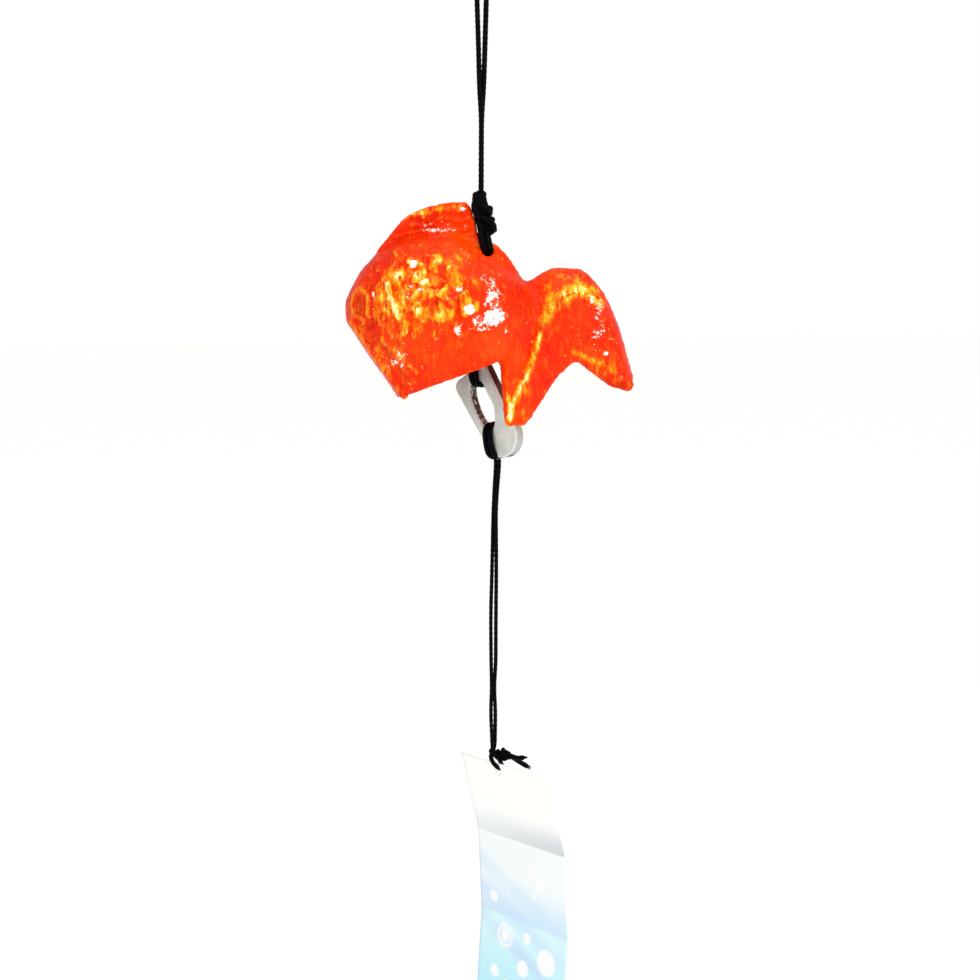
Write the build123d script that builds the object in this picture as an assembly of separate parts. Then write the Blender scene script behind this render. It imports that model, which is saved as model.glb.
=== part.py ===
from build123d import *
import math
import os

# Goldfish wind bell: a cast iron fish bell hung on a doubled cord, with a ring shaped
# clapper inside it and a folded paper strip below that catches the wind.
# Millimetres. +Z is up, +X runs from the fish's head to its tail, +Y away from the side
# that is seen. The origin is where a hook carries the hanging loop. The fish's mid-plane
# is Y = 0, and the fish hangs from a cord hole behind its dorsal fin.

# Places of the pieces below the hook
hole_drop = 113.5

# Cord
cord_diameter = 1.5
streamer_diameter = 1.1
strand_gap = 0.2
cord_clearance = 0.2
hook_half_width = 2.65
hook_bend = 2.6

# One strand of the doubled hanging cord, from the knot up to the hook: the middle of the
# pair, the strand's offset from it across and away, and its depth below the hook
hanging_route = (
    (-1.55, 0.00, 0.85, 97.3),
    (-1.15, 0.00, 0.85, 77.0),
    (-1.00, 0.61, 0.61, 68.0),
    (-0.80, 0.85, 0.00, 59.0),
)

# Fish body
body_length = 52.3
nose_ahead = 40.0
body_half_width = 18.7
body_depth = 57.2
back_rise = 5.2
wall = 2.4
cavity_ahead = 0.8
rim_slope = 19.5
rim_drop = 30.3
rim_ahead = 3.0
rim_overrun = 0.6

# Stations of the body from the nose to the tail root. Each holds shares of the body's
# length, then of its depth (back, widest level, keel), then of its half width
body_stations_share = (
    (0.000, 0.327, 0.376, 0.423, 0.16),
    (0.033, 0.262, 0.367, 0.467, 0.33),
    (0.105, 0.159, 0.358, 0.572, 0.55),
    (0.210, 0.075, 0.358, 0.712, 0.75),
    (0.363, 0.021, 0.362, 0.913, 0.92),
    (0.555, 0.000, 0.365, 1.000, 1.00),
    (0.707, 0.066, 0.371, 1.000, 0.973),
    (0.822, 0.133, 0.379, 0.965, 0.872),
    (0.918, 0.200, 0.406, 0.878, 0.695),
    (1.000, 0.276, 0.441, 0.755, 0.508),
)
cavity_middle_share = (0.50, 0.37)

# Dorsal fin and the crest that holds the cord hole
fin_length = 26.6
fin_height = 14.5
fin_thickness = 4.2
fin_front = 29.2
fin_foot = 1.0
fin_outline_share = (
    (0.000, 0.124), (0.086, 0.324), (0.207, 0.586), (0.312, 0.759), (0.451, 0.876),
    (0.598, 0.959), (0.733, 1.000), (0.868, 0.993), (0.910, 0.910), (0.970, 0.628),
    (1.000, 0.338), (1.000, 0.020), (0.060, 0.000),
)
crest_half_width = 3.4
crest_length = 15.0
crest_front = 6.0
crest_depth = 13.0
crest_top = 3.6
crest_round = 2.2
crest_outline_share = (
    (0.000, 0.000), (0.220, 0.010), (0.400, 0.040), (0.600, 0.165), (0.800, 0.420),
    (0.980, 0.750), (0.960, 1.000), (0.000, 0.600),
)
hole_radius = 1.85
well_half_length = 3.4
well_half_width = 2.7
well_depth = 6.0

# Tail, a sheet draped over the mid-plane with a front and a rear lobe on each side
tail_overlap = 7.8
tail_length = 35.0
tail_top = 4.7
tail_drop = 44.0
tail_half_width = 19.3
tail_thickness = 4.5

# Sections of the tail. Each holds the crest's place and the free edge's place, as shares
# of the tail's length and drop, then the half width, then the shoulder's place down and out
tail_sections_share = (
    (0.000, 0.166, 0.029, 0.984, 0.985, 0.50, 0.66),
    (0.171, 0.109, 0.109, 1.000, 1.000, 0.36, 0.545),
    (0.286, 0.057, 0.243, 0.866, 0.907, 0.34, 0.54),
    (0.429, 0.005, 0.400, 0.707, 0.750, 0.29, 0.60),
    (0.586, 0.011, 0.571, 0.618, 0.674, 0.30, 0.65),
    (0.743, 0.120, 0.743, 0.695, 0.750, 0.28, 0.57),
    (0.871, 0.330, 0.886, 0.763, 0.830, 0.31, 0.56),
    (0.974, 0.609, 0.972, 0.763, 0.880, 0.37, 0.59),
)
fold_top_radius = 1.3
fold_end_radius = 2.2
fold_top_share = (0.286, 0.386, 0.49)
fold_end_share = (0.086, 0.975, 0.935)

# Eyes and pectoral fins
eye_radius = 3.4
eye_place_share = (0.082, 0.353, 0.40)
pectoral_width = 7.6
pectoral_thickness = 3.2
pectoral_overhang = 2.4
pectoral_top_share = (0.0765, 0.385, 0.535)
pectoral_tip_share = (0.348, 0.745, 0.727)

# Clapper, a flat plate with a long slot. Places on it are across and along from its middle
clapper_length = 27.0
clapper_width = 13.6
clapper_thickness = 3.5
clapper_corner = 2.2
clapper_end_radius = 6.0
clapper_edge = 0.45
clapper_yaw = 40.0
clapper_tilt = 31.0
clapper_place = (0.3, -0.1, -45.6)
slot_length = 15.0
slot_width = 6.5
slot_place = (-0.15, 3.4)
slot_outline_share = (
    (0.18, 0.50), (-0.12, 0.455), (-0.36, 0.29), (-0.47, 0.087), (-0.50, -0.127),
    (-0.42, -0.34), (-0.19, -0.487), (0.02, -0.487), (0.28, -0.367), (0.45, -0.23),
    (0.50, -0.08), (0.48, 0.12), (0.43, 0.40),
)
hitch_bend = 1.35
hinge_gap = 0.75
top_hitch_inside = (1.0, 9.0)
bottom_hitch_inside = (-0.7, -2.3)
bottom_hitch_outside = (-4.7, -11.95)

# Cord loop inside the bell
saddle_inner = 3.1
loop_outer = 2.9
loop_bend = 0.95
inner_knot_drop = 5.6
inner_knot_radius = 1.9

# Knot behind the dorsal fin: along it and across it, from the middle of the cord hole
knot_top = (-1.8, 16.0)
knot_bottom = (0.2, 4.9)
knot_core_radius = 1.6
knot_turn_radius = 1.15
knot_ring_radius = 1.45
knot_turns_share = ((0.14, 0.85), (0.36, 1.00), (0.62, 0.95), (0.86, 1.00))
knot_end_place = (-2.8, -1.4, 14.6)
knot_end_radius = 1.1

# One side of the cord that goes down past the crest into the hole, from its middle
leg_bend = 1.4
leg_route = (
    (-0.4, 2.2, 4.7),
    (-0.2, 4.95, 2.1),
    (0.0, 4.1, 0.0),
)

# The doubled streamer cord from below the clapper to the strip's knot: the middle of the
# pair and the half gap between its strands, across and away
streamer_route = (
    (0.95, -1.15, -72.0, 0.35, -0.56),
    (0.65, -0.85, -88.0, 0.60, -0.27),
    (0.15, -0.60, -103.0, 0.74, 0.00),
    (0.00, -0.30, -117.0, 0.66, 0.10),
    (-0.25, -0.10, -124.0, 0.35, 0.56),
    (-0.30, 0.00, -131.0, 0.68, 0.00),
    (-0.32, 0.15, -141.0, 0.40, 0.52),
)

# Paper strip and the knotted loop that it hangs from
strip_width = 38.0
strip_pitch = 24.5
strip_thickness = 0.4
strip_yaw = 50.0
strip_lean = (14.0, 2.0, -5.4, -18.0, -12.0, -5.0)
strip_hole_radius = 1.6
strip_hole_margin = 2.2
strip_hole_aside = 3.0
strip_clearance = 0.3
eye_loop_radius = 2.2
eye_loop_out = 1.8
strip_knot_radius = 1.8
strip_knot_sink = 0.1
end_length = 7.5
end_ways = ((1.0, -0.25, -0.02), (0.9, 0.30, -0.08))

cord_radius = cord_diameter / 2
strand_half_pitch = (cord_diameter + strand_gap) / 2
hole_z = -hole_drop
tail_front = body_length - nose_ahead - tail_overlap
streamer_radius = streamer_diameter / 2
strip_rest = strip_hole_radius - streamer_radius - strip_clearance
streamer_half_pitch = (streamer_diameter + strand_gap) / 2


def fish_point(x, y, z):
    """A place given from the middle of the cord hole."""
    return Vector(x, y, z + hole_z)


def rounded(points, tight=None):
    """Fillet radii for a cord's corners: large on open stretches, the carrier's size where given."""
    tight = tight or {}
    radii = []
    for i in range(1, len(points) - 1):
        before = Vector(*points[i]) - Vector(*points[i - 1])
        after = Vector(*points[i + 1]) - Vector(*points[i])
        turn = math.radians(before.get_angle(after))
        free = 0.45 * min(before.length, after.length) / math.tan(turn / 2)
        radii.append(tight.get(i, free))
    return radii


def cord_tube(name, points, tight=None, radius=cord_radius):
    """A round cord along straight runs joined by arcs."""
    radii = rounded(points, tight)
    path = FilletPolyline(*points, radius=radii)
    tube = sweep(Plane(origin=path @ 0, z_dir=path % 0) * Circle(radius), path=path)
    expected = math.pi * radius**2 * path.length
    print(f"{name}: length {path.length:.1f}, volume share {tube.volume / expected:.4f}, radii",
          [round(r, 1) for r in radii])
    return tube


def one_solid(shape):
    """The single solid in a shape."""
    solids = shape.solids()
    assert len(solids) == 1, f"{len(solids)} solids"
    return solids[0]


# Body
def station_sizes(share):
    along, back, middle, keel, width = share
    x = along * body_length - nose_ahead
    z = [back_rise - level * body_depth for level in (back, middle, keel)]
    return x, z[0], z[1], z[2], width * body_half_width


def body_section(x, back, middle, keel, half_width):
    """An egg shaped section across the body: one half ellipse above its widest level, one below."""
    plane = Plane(origin=fish_point(x, 0, middle), x_dir=(0, 1, 0), z_dir=(1, 0, 0))
    upper = EllipticalCenterArc((0, 0), half_width, back - middle, 0, arc_size=180)
    lower = EllipticalCenterArc((0, 0), half_width, middle - keel, 180, arc_size=180)
    return plane * make_face([upper, lower])


def body_outside():
    return loft([body_section(*station_sizes(s)) for s in body_stations_share])


def body_inside():
    """The hollow: the outside drawn in towards its middle by the wall."""
    middle_x = cavity_middle_share[0] * body_length - nose_ahead
    middle_z = back_rise - cavity_middle_share[1] * body_depth
    x_share = 1 - wall / (body_length / 2)
    y_share = 1 - wall / body_half_width
    z_share = 1 - wall / (back_rise - middle_z)
    sections = []
    for share in body_stations_share:
        x, back, middle, keel, half_width = station_sizes(share)
        levels = [middle_z + (z - middle_z) * z_share for z in (back, middle, keel)]
        inner_x = middle_x + (x - middle_x) * x_share - cavity_ahead
        sections.append(body_section(inner_x, *levels, half_width * y_share))
    return loft(sections)


def above_rim(lowered):
    """The space above the bell's mouth."""
    plane = Plane(
        origin=fish_point(rim_ahead, 0, -rim_drop - lowered),
        x_dir=(math.cos(math.radians(rim_slope)), 0, math.sin(math.radians(rim_slope))),
        z_dir=(-math.sin(math.radians(rim_slope)), 0, math.cos(math.radians(rim_slope))),
    )
    side = 2 * (body_length + tail_length)
    return plane * Box(side, side, side, align=(Align.CENTER, Align.CENTER, Align.MIN))


def side_outline(points, origin_x, origin_z, length, height, up):
    """A closed outline in the fish's mid-plane, from shares of a length and a height."""
    return [(origin_x + a * length, hole_z + origin_z + up * b * height) for a, b in points]


def dorsal_fin():
    outline = side_outline(fin_outline_share, -fin_front, -fin_foot, fin_length, fin_height, 1)
    top = [outline[i] for i in range(len(fin_outline_share) - 2)]
    edge = Spline(*top[:8]) + Polyline(*top[7:], outline[-2], outline[-1], top[0])
    return extrude(Plane.XZ * make_face(edge), fin_thickness / 2, both=True)


def crest():
    outline = side_outline(crest_outline_share, -crest_front, crest_top, crest_length, crest_depth, -1)
    top = Spline(*outline[:6])
    rest = Polyline(*outline[5:], outline[0])
    block = extrude(Plane.XZ * make_face(top + rest), crest_half_width, both=True)
    ridge = block.edges().filter_by(GeomType.BSPLINE)
    return fillet(ridge, crest_round)


def tail_sheet():
    sections = []
    for crest_x, crest_z, edge_x, edge_z, width, down, out in tail_sections_share:
        top = fish_point(tail_front + crest_x * tail_length, 0, -tail_top - crest_z * tail_drop)
        end = fish_point(tail_front + edge_x * tail_length, 0, -tail_top - edge_z * tail_drop)
        drop = (end - top).length
        half = width * tail_half_width
        plane = Plane(origin=top, x_dir=(0, 1, 0), z_dir=(end - top).cross(Vector(0, 1, 0)))
        side = 1 if plane.to_local_coords(end).Y > 0 else -1
        shoulder = Vector(out * half, side * down * drop)
        inset = tail_thickness * math.sqrt(0.5)
        outer = Spline((-half, side * drop), (-shoulder.X, shoulder.Y), (0, 0),
                       (shoulder.X, shoulder.Y), (half, side * drop))
        inner = Spline((half - tail_thickness, side * drop),
                       (shoulder.X - inset, shoulder.Y + side * inset), (0, side * tail_thickness),
                       (-shoulder.X + inset, shoulder.Y + side * inset),
                       (-half + tail_thickness, side * drop))
        edges = outer + Line(outer @ 1, inner @ 0) + inner + Line(inner @ 1, outer @ 0)
        sections.append(plane * make_face(edges))
    return loft(sections)


def tail_fold(side):
    """The raised fold from the tail's root to the tip of its front lobe."""
    places = []
    for share in (fold_top_share, fold_end_share):
        places.append(fish_point(
            tail_front + share[0] * tail_length,
            side * share[2] * tail_half_width,
            -tail_top - share[1] * tail_drop,
        ))
    way = places[1] - places[0]
    start = Plane(origin=places[0], z_dir=way)
    cone = start * Cone(fold_top_radius, fold_end_radius, way.length,
                        align=(Align.CENTER, Align.CENTER, Align.MIN))
    return [cone, Pos(places[0]) * Sphere(fold_top_radius), Pos(places[1]) * Sphere(fold_end_radius)]


def on_body(share, side):
    """A place from shares of the body's length, depth and half width."""
    along, level, out = share
    return fish_point(along * body_length - nose_ahead, side * out * body_half_width,
                      back_rise - level * body_depth)


def eye(side):
    return Pos(on_body(eye_place_share, side)) * Sphere(eye_radius)


def pectoral_fin(side):
    """A fin plate that runs down the cheek to the front of the bell's mouth."""
    top, tip = on_body(pectoral_top_share, side), on_body(pectoral_tip_share, side)
    way = tip - top
    across = way.cross(Vector(0, 1, 0))
    plate = Box(way.length + 2 * pectoral_overhang, pectoral_width, pectoral_thickness)
    plate = fillet(plate.edges().filter_by(Axis.Z), pectoral_width / 3)
    return Plane(origin=(top + tip) / 2, x_dir=way, z_dir=way.cross(across)) * plate


def fish_bell():
    solid = body_outside() & above_rim(0)
    for piece in [dorsal_fin(), crest(), tail_sheet()]:
        solid += piece
    for side in (-1, 1):
        for piece in [*tail_fold(side), eye(side), pectoral_fin(side)]:
            solid += piece
    solid -= body_inside() & above_rim(rim_overrun)
    bore = Pos(fish_point(0, 0, 0)) * Rot(90, 0, 0) * Cylinder(hole_radius, 2 * body_half_width)
    well = Pos(fish_point(0, 0, 0)) * extrude(
        Ellipse(well_half_length, well_half_width), -well_depth)
    return one_solid(solid - bore - well)


# Clapper
def clapper_plane():
    """The middle plane of the clapper: x across it, y along it, z towards the near side."""
    yaw, tilt = math.radians(clapper_yaw), math.radians(clapper_tilt)
    return Plane(
        origin=fish_point(*clapper_place),
        x_dir=(math.cos(yaw) * math.cos(tilt), -math.sin(yaw) * math.cos(tilt), math.sin(tilt)),
        z_dir=(-math.sin(yaw), -math.cos(yaw), 0),
    )


def clapper():
    half = clapper_width / 2
    end = clapper_length / 2
    level = clapper_end_radius - end
    left = half - 2 * clapper_end_radius
    outline = Polyline((left, level), (-half, end), (half, end), (half, level))
    outline += ThreePointArc((half, level), (half - clapper_end_radius, -end), (left, level))
    face = make_face(outline)
    face = fillet(face.vertices().sort_by(Axis.Y)[-2:], clapper_corner)
    across, along = slot_place
    slot = Spline(*[(across + a * slot_width, along + b * slot_length)
                    for a, b in slot_outline_share], periodic=True)
    plate = extrude(face - make_face(slot), clapper_thickness / 2, both=True)
    faces = plate.faces().filter_by(Axis.Z).sort_by(Axis.Z)
    rims = faces[0].edges() + faces[-1].edges()
    return one_solid(clapper_plane() * chamfer(rims, clapper_edge))


def hitch(inside, outside, diameter):
    """Two cord turns side by side round the clapper's bar between two places on the plate."""
    inner, outer = Vector(*inside), Vector(*outside)
    way = (outer - inner).normalized()
    across = Vector(-way.Y, way.X) * (diameter + strand_gap) / 2
    lift = Vector(0, 0, (clapper_thickness + diameter) / 2 + cord_clearance)
    turns = []
    for side in (-1, 1):
        shift = across * side
        corners = [inner + shift + lift, outer + shift + lift,
                   outer + shift - lift, inner + shift - lift]
        path = FilletPolyline(*corners, radius=hitch_bend, close=True)
        turns.append(sweep(Plane(origin=path @ 0, z_dir=path % 0) * Circle(diameter / 2), path=path))
    return clapper_plane() * Compound(children=turns)


def plumb_way():
    """Straight up, as a direction on the clapper's plate."""
    tilt = math.radians(clapper_tilt)
    return Vector(math.sin(tilt), math.cos(tilt))


def top_hitch_outside():
    """Straight above the hitch's inside, just clear of the plate's top edge."""
    level_drop = strand_half_pitch * math.sin(math.radians(clapper_tilt))
    along = clapper_length / 2 + cord_radius + cord_clearance + level_drop
    across, inside = top_hitch_inside
    return across + (along - inside) * math.tan(math.radians(clapper_tilt)), along


def clapper_pivot():
    """The middle of the hinge that the clapper hangs from."""
    place = Vector(*top_hitch_outside()) + plumb_way() * (cord_diameter + hinge_gap)
    return clapper_plane().from_local_coords(place)


def level_way():
    """The level direction in the clapper's plane, which its cords' ends turn about."""
    yaw = math.radians(clapper_yaw)
    return Vector(math.cos(yaw), -math.sin(yaw), 0)


def inner_knot_place():
    return fish_point(0, 0, -inner_knot_drop)


# Cords
def hanging_cord():
    """One cord up from the knot, over the hook and down again to the knot."""
    one_side = [(x + across, away, -drop) for x, across, away, drop in hanging_route]
    other_side = [(x - across, -away, -drop) for x, across, away, drop in hanging_route]
    over_hook = [(hook_half_width, 0, cord_radius), (-hook_half_width, 0, cord_radius)]
    points = one_side + over_hook + other_side[::-1]
    at_hook = len(one_side)
    return cord_tube("hanging_cord", points, {at_hook: hook_bend, at_hook + 1: hook_bend})


def hanging_knot():
    top = fish_point(knot_top[0], 0, knot_top[1])
    bottom = fish_point(knot_bottom[0], 0, knot_bottom[1])
    core = loft([Plane(origin=place, z_dir=(0, 0, 1)) * Circle(knot_core_radius)
                 for place in (bottom, top)])
    solid = core
    for level, swell in knot_turns_share:
        ring = Torus(knot_ring_radius * swell, knot_turn_radius)
        solid += Pos(top + (bottom - top) * level) * ring
    solid += Pos(fish_point(*knot_end_place)) * Sphere(knot_end_radius)
    return one_solid(solid)


def saddle_cord():
    """The cord's strands from the knot down both sides of the crest into the hole."""
    tubes = []
    for side in (-1, 1):
        for strand in (-1, 1):
            route = [*leg_route, (0, saddle_inner, 0)]
            points = [fish_point(x + strand * strand_half_pitch, side * y, z) for x, y, z in route]
            tubes.append(cord_tube("saddle_cord", points, {1: leg_bend, 2: leg_bend}))
    return Compound(children=tubes)


def inner_knot():
    """The loop that hangs in the hole, and the knot that gathers it inside the bell."""
    centre = inner_knot_place()
    solid = Pos(centre) * Sphere(inner_knot_radius)
    for side in (-1, 1):
        for strand in (-1, 1):
            x = strand * strand_half_pitch
            y = side * strand_half_pitch
            points = [fish_point(x, side * loop_outer, 0), fish_point(x, side * loop_bend, 0),
                      centre + Vector(x, y, 0)]
            solid += cord_tube("inner_knot", points)
    return one_solid(solid)


def clapper_cord():
    """Two straight strands from the inner knot to the clapper's hinge."""
    start, end = inner_knot_place(), clapper_pivot()
    way = (end - start).normalized()
    tubes = []
    for side in (-1, 1):
        first = start + way * (inner_knot_radius + cord_clearance) + Vector(side * strand_half_pitch)
        last = end + level_way() * side * strand_half_pitch
        path = Line(first, last)
        tube = sweep(Plane(origin=first, z_dir=last - first) * Circle(cord_radius), path=path)
        print(f"clapper_cord: length {path.length:.1f}")
        tubes.append(tube + Pos(last) * Sphere(cord_radius))
    return Compound(children=tubes)


def streamer_top():
    """The middle of the hinge that the streamer hangs from."""
    place = Vector(*bottom_hitch_outside) - plumb_way() * (streamer_diameter + hinge_gap)
    return clapper_plane().from_local_coords(place)


def streamer_cord():
    tubes = []
    for side in (-1, 1):
        first = streamer_top() + level_way() * side * streamer_half_pitch
        points = [first] + [fish_point(x + side * dx, y + side * dy, z)
                            for x, y, z, dx, dy in streamer_route]
        tube = cord_tube("streamer_cord", points, radius=streamer_radius)
        tubes.append(tube + Pos(first) * Sphere(streamer_radius))
    return Compound(children=tubes)


# Paper strip
def strip_ways():
    """The level directions along the strip's width and square to its face."""
    yaw = math.radians(strip_yaw)
    return Vector(math.cos(yaw), -math.sin(yaw), 0), Vector(math.sin(yaw), math.cos(yaw), 0)


def strip_knot_place():
    x, y, z = streamer_route[-1][:3]
    return fish_point(x, y, z - cord_clearance - strip_knot_radius)


def strip_pivot():
    """The lowest point of the loop's centre line, where the strip hangs."""
    along, _ = strip_ways()
    drop = 2 * eye_loop_radius - strip_knot_sink
    return strip_knot_place() + along * eye_loop_out - Vector(0, 0, drop)


def strip_knot():
    """The knot under the streamer, its two cut ends and the loop through the strip's hole."""
    along, _ = strip_ways()
    centre = strip_knot_place()
    solid = Pos(centre) * Sphere(strip_knot_radius)
    middle = strip_pivot() + Vector(0, 0, eye_loop_radius)
    solid += Plane(origin=middle, x_dir=(0, 0, 1), z_dir=along) * Torus(eye_loop_radius, streamer_radius)
    for way in end_ways:
        start = Plane(origin=centre, z_dir=way)
        solid += start * Cylinder(streamer_radius, end_length, align=(Align.CENTER, Align.CENTER, Align.MIN))
    return one_solid(solid)


def paper_strip():
    """A strip folded across its width into panels of one length."""
    along, out = strip_ways()
    top = strip_pivot() + Vector(0, 0, strip_hole_margin - strip_rest)
    line = [Vector(0, 0)]
    for lean in strip_lean:
        step = Vector(math.sin(math.radians(lean)), -math.cos(math.radians(lean)))
        line.append(line[-1] + step * strip_pitch)
    first = line[1].normalized()
    line = [p - Vector(first.X * (strip_hole_margin - strip_rest), 0) for p in line]
    half = Vector(strip_thickness / 2, 0)
    edge = [p + half for p in line] + [p - half for p in line[::-1]]
    plane = Plane(origin=top, x_dir=out, z_dir=out.cross(Vector(0, 0, 1)))
    sheet = extrude(make_face(Polyline(*edge, edge[0])), strip_width / 2, both=True)
    place = line[0] + first * strip_hole_margin
    bore = Rot(0, 0, strip_lean[0]) * Rot(0, 90, 0) * Cylinder(strip_hole_radius, strip_width / 2)
    return one_solid(plane * (Pos(0, 0, strip_hole_aside) * sheet - Pos(place.X, place.Y) * bore))


pieces = {
    "hanging_cord": hanging_cord(),
    "hanging_knot": hanging_knot(),
    "saddle_cord": saddle_cord(),
    "fish_bell": fish_bell(),
    "inner_knot": inner_knot(),
    "clapper_cord": clapper_cord(),
    "clapper": clapper(),
    "clapper_top_hitch": hitch(top_hitch_inside, top_hitch_outside(), cord_diameter),
    "clapper_bottom_hitch": hitch(bottom_hitch_inside, bottom_hitch_outside, streamer_diameter),
    "streamer_cord": streamer_cord(),
    "strip_knot": strip_knot(),
    "paper_strip": paper_strip(),
}

os.makedirs("parts", exist_ok=True)
for name, shape in pieces.items():
    export_step(shape, f"parts/{name}.step")
    centre = shape.center(CenterOf.MASS)
    print(f"{name}: volume {shape.volume:.0f}, middle of mass {centre.X:.2f} {centre.Y:.2f} {centre.Z:.2f}")

for name, place in (("inner knot", inner_knot_place()), ("clapper pivot", clapper_pivot()),
                    ("streamer top", streamer_top()), ("strip knot", strip_knot_place()),
                    ("strip pivot", strip_pivot())):
    print(f"{name}: {place.X:.3f} {place.Y:.3f} {place.Z:.3f}")
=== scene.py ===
import bpy
import numpy as np
from functools import partialmethod
from itertools import product
from math import cos, pi, radians, sin, sqrt, tan
from mathutils import Matrix, Vector
from numpy.linalg import norm


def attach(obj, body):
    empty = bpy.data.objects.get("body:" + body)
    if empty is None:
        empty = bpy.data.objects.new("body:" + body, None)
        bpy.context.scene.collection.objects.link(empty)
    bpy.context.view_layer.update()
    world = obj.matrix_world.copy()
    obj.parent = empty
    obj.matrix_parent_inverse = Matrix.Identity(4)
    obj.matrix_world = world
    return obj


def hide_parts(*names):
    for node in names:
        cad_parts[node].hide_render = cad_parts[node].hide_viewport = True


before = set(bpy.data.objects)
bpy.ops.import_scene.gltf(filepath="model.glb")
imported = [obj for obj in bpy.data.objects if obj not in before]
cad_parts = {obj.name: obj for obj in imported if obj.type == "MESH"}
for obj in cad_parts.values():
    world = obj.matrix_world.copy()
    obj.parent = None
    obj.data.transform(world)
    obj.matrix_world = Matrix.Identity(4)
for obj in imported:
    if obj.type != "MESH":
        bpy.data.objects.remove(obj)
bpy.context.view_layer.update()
rng = np.random.default_rng(7)

# Goldfish wind bell, in millimetres. +X runs from the fish's head to its tail, +Y away from the
# camera and +Z up. Most places are counted from the cord hole.
MM = 0.001
HOLE_LEVEL = -113.5
CORD = 0.75
THIN_CORD = 0.55
ASIDE = CORD + 0.1
UNEVEN = 0.02
BRAID = 0.028
PLAIT_LENGTH = 1.5


# Points and meshes
def unit(v):
    v = np.asarray(v, float)
    return v / norm(v)


def at_hole(x, y, z):
    return np.array((x, y, z + HOLE_LEVEL))


def smooth(a, b, x):
    """0 up to a and 1 from b on, with a smooth step between them."""
    t = np.clip((x - a) / (b - a), 0, 1)
    return t * t * (3 - 2 * t)


def linked(name, data):
    made = bpy.data.objects.new(name, data)
    bpy.context.scene.collection.objects.link(made)
    return made


def mesh_object(name, verts, faces, body, slot, *replaced):
    mesh = bpy.data.meshes.new(name)
    mesh.from_pydata([tuple(v) for v in np.asarray(verts) * MM], [], [tuple(f) for f in faces])
    mesh.polygons.foreach_set("use_smooth", [True] * len(mesh.polygons))
    mesh.update()
    made = linked(name, mesh)
    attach(made, body)
    if replaced:
        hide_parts(*replaced)
    return made


def rounded(points, cut=0.45, steps=6):
    """Straight runs whose corners are rounded, as in the part."""
    p = [np.asarray(q, float) for q in points]
    out = [p[0]]
    for a, b, c in zip(p, p[1:], p[2:]):
        run = cut * min(norm(b - a), norm(c - b))
        start, end = b - unit(b - a) * run, b + unit(c - b) * run
        for t in np.linspace(0, 1, steps):
            out.append((1 - t) ** 2 * start + 2 * t * (1 - t) * b + t * t * end)
    out.append(p[-1])
    return np.array(out)


def dense(path, step=0.8):
    """The same path with its points close together."""
    out = [path[0]]
    for a, b in zip(path, path[1:]):
        n = max(1, int(norm(b - a) / step))
        out += [a + (b - a) * k / n for k in range(1, n + 1)]
    return np.array(out)


def quads_of(near, far):
    """Quads between two sets of rows of point numbers."""
    return np.stack([near[:-1], far[:-1], far[1:], near[1:]], 2).reshape(-1, 4)


def cap(ring, way):
    """Smaller rings that round off the end of a tube."""
    middle, size, u, v = ring
    return [(middle + way * size * sqrt(1 - k * k) * 0.8, max(k, 0.05) * size, u, v)
            for k in (0.85, 0.5, 0)]


def tube(path, radius=CORD, closed=False, sides=12, braid=0):
    """A slightly uneven round tube along a path. Its radius may vary along it."""
    path = np.asarray(path, float)
    n = len(path)
    sizes = np.full(n, radius) if np.isscalar(radius) else np.asarray(radius, float)
    sizes = sizes * (1 + UNEVEN * rng.standard_normal(n).cumsum() / sqrt(n))
    if closed:
        ways = np.roll(path, -1, 0) - np.roll(path, 1, 0)
    else:
        ways = np.gradient(path, axis=0)
    ways /= norm(ways, axis=1)[:, None]
    side = np.cross(ways[0], (0.3, 0.2, 1) if abs(ways[0][2]) < 0.9 else (1, 0.1, 0))
    rings = []
    for middle, way, size in zip(path, ways, sizes):
        side = unit(side - way * (side @ way))
        rings.append((middle, size, side, np.cross(way, side)))
    if not closed:
        rings = cap(rings[0], -ways[0])[::-1] + rings + cap(rings[-1], ways[-1])

    angle = np.arange(sides) * 2 * pi / sides
    verts = []
    gone, before = 0, rings[0][0]
    for middle, size, u, v in rings:
        gone += norm(middle - before)
        before = middle
        twist = 2 * pi * gone / PLAIT_LENGTH
        plait = 1 + braid * (np.cos(2 * angle + twist) + np.cos(2 * angle - twist))
        verts += [middle + size * p * (cos(t) * u + sin(t) * v) for t, p in zip(angle, plait)]
    number = np.arange(len(verts)).reshape(-1, sides)
    ends = [] if closed else [number[0, ::-1].tolist(), number[-1].tolist()]
    if closed:
        number = np.concatenate([number, number[:1]])
    return np.array(verts), quads_of(number, np.roll(number, -1, 1)).tolist() + ends


def strand(points, radius=CORD, cut=0.45, step=0.8):
    """A length of cord through these points, with sharp corners where cut is 0."""
    path = rounded(points, cut) if cut else np.array(points)
    return tube(dense(path, step), radius)


def turn(centre, radius, tilt_x, tilt_y, cord=CORD, squash=1):
    """One turn of a knot: a tilted ring of cord."""
    t = np.linspace(0, 2 * pi, 37)[:-1]
    ring = np.stack([radius * np.cos(t), radius * squash * np.sin(t), 0 * t], 1)
    tilt = Matrix.Rotation(radians(tilt_x), 3, "X") @ Matrix.Rotation(radians(tilt_y), 3, "Y")
    return tube(ring @ np.array(tilt).T + centre, cord, closed=True)


def joined(pieces):
    verts, faces, base = [], [], 0
    for v, f in pieces:
        verts.append(v)
        faces += [tuple(i + base for i in q) for q in f]
        base += len(v)
    return np.concatenate(verts), faces


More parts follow.
